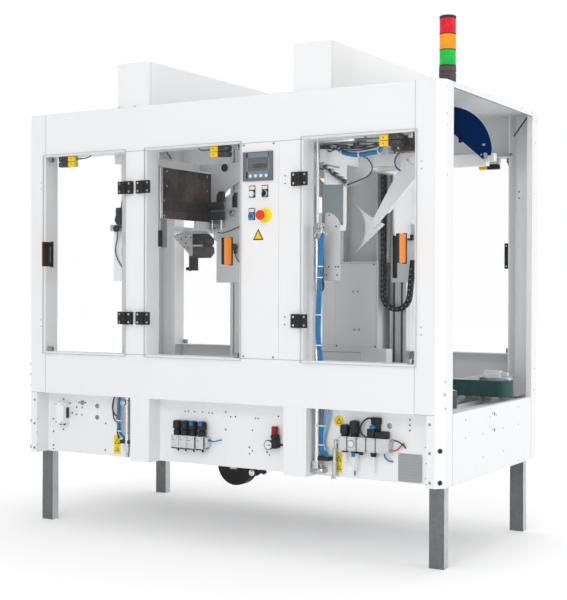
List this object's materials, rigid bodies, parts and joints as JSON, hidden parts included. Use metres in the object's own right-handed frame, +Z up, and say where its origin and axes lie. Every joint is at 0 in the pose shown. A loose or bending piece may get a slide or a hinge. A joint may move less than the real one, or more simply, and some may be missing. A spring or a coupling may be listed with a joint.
{
  "type": "carton sealer",
  "caption": "Enclosed carton sealing machine on four legs, with a roller bed, side belts, two lifting heads and clear hinged doors on both long sides.",
  "frame": {"origin": "floor point under the middle of the machine", "axes": "+X along the carton travel towards the outfeed, +Y from the operator side to the rear, +Z up"},
  "size_m": [2.06, 1.2, 2.108],
  "materials": {
    "white_paint": "satin powder coat",
    "light_grey_paint": "satin powder coat",
    "leg_steel": "satin grey paint",
    "zinc_steel": "bright zinc plate",
    "bright_steel": "polished",
    "roller_steel": "turned and zinc plated",
    "clear_plastic": "clear polycarbonate sheet",
    "black_plastic": "fine grained",
    "switch_plastic": "fine grained",
    "chain_plastic": "fine grained",
    "screen_plastic": "satin",
    "button_plastic": "satin",
    "stop_plastic": "gloss",
    "lens_plastic": "ribbed clear lenses over a black base",
    "belt_rubber": "matt fabric backed belt",
    "drive_paint": "satin",
    "tape_black": "satin",
    "brown_laminate": "satin laminate",
    "tube_plastic": "soft polyurethane tube",
    "blue_paint": "satin",
    "valve_plastic": "satin"
  },
  "bodies": {
    "enclosure": {"air_preparation": "valve_plastic", "air_tubes": "tube_plastic", "bottom_tape_unit": "zinc_steel", "control_column": "white_paint", "conveyor_frame": "zinc_steel", "corner_post_front_left": "white_paint", "corner_post_front_right": "white_paint", "corner_post_rear_left": "white_paint", "corner_post_rear_right": "white_paint", "door_catches": "bright_steel", "door_switches": "switch_plastic", "electrical_boxes": "light_grey_paint", "emergency_stop": "stop_plastic", "end_aprons": "white_paint", "front_bay_panel": "white_paint", "front_lower_beam": "white_paint", "front_mid_post": "white_paint", "front_top_beam": "white_paint", "guide_columns": "zinc_steel", "left_hood": "white_paint", "legs": "leg_steel", "lift_cylinders": "bright_steel", "operator_screen": "screen_plastic", "post_hinges": "black_plastic", "push_buttons": "button_plastic", "rear_bay_panel": "white_paint", "rear_column": "white_paint", "rear_lower_beam": "white_paint", "rear_mid_post": "white_paint", "rear_top_beam": "white_paint", "right_hood": "white_paint", "rollers": "roller_steel", "roof": "white_paint", "side_belts": "belt_rubber", "side_drives": "drive_paint", "signal_tower": "lens_plastic", "tape_roll": "tape_black", "valve_bank": "valve_plastic"},
    "front_left_door": {"front_left_pane": "clear_plastic", "front_left_hardware": "black_plastic"},
    "front_middle_door": {"front_middle_pane": "clear_plastic", "front_middle_hardware": "black_plastic"},
    "front_right_door": {"front_right_pane": "clear_plastic", "front_right_hardware": "black_plastic"},
    "rear_left_door": {"rear_left_pane": "clear_plastic", "rear_left_hardware": "black_plastic"},
    "rear_middle_door": {"rear_middle_pane": "clear_plastic", "rear_middle_hardware": "black_plastic"},
    "rear_right_door": {"rear_right_pane": "clear_plastic", "rear_right_hardware": "black_plastic"},
    "left_head": {"left_head_frame": "light_grey_paint", "folding_plate": "brown_laminate", "left_head_plates": "light_grey_paint", "press_unit": "zinc_steel"},
    "right_head": {"right_head_frame": "light_grey_paint", "right_head_plates": "light_grey_paint", "tape_arm": "white_paint", "flap_kicker": "light_grey_paint", "roll_guard": "blue_paint", "energy_chain": "chain_plastic"}
  },
  "joints": [
    {"name": "front_left_door_hinge", "type": "hinge", "parent": "enclosure", "child": "front_left_door", "pos_m": [-0.452, -0.555, 0.9], "axis": [0, 0, 1], "range_deg": [0, 90]},
    {"name": "front_middle_door_hinge", "type": "hinge", "parent": "enclosure", "child": "front_middle_door", "pos_m": [-0.354, -0.555, 0.9], "axis": [0, 0, -1], "range_deg": [0, 90]},
    {"name": "front_right_door_hinge", "type": "hinge", "parent": "enclosure", "child": "front_right_door", "pos_m": [0.42, -0.555, 0.9], "axis": [0, 0, -1], "range_deg": [0, 90]},
    {"name": "rear_left_door_hinge", "type": "hinge", "parent": "enclosure", "child": "rear_left_door", "pos_m": [-0.452, 0.555, 0.9], "axis": [0, 0, -1], "range_deg": [0, 90]},
    {"name": "rear_middle_door_hinge", "type": "hinge", "parent": "enclosure", "child": "rear_middle_door", "pos_m": [-0.354, 0.555, 0.9], "axis": [0, 0, 1], "range_deg": [0, 90]},
    {"name": "rear_right_door_hinge", "type": "hinge", "parent": "enclosure", "child": "rear_right_door", "pos_m": [0.42, 0.555, 0.9], "axis": [0, 0, 1], "range_deg": [0, 90]},
    {"name": "left_head_lift", "type": "slide", "parent": "enclosure", "child": "left_head", "axis": [0, 0, -1], "range_m": [0, 0.35]},
    {"name": "right_head_lift", "type": "slide", "parent": "enclosure", "child": "right_head", "axis": [0, 0, -1], "range_m": [0, 0.35]}
  ]
}
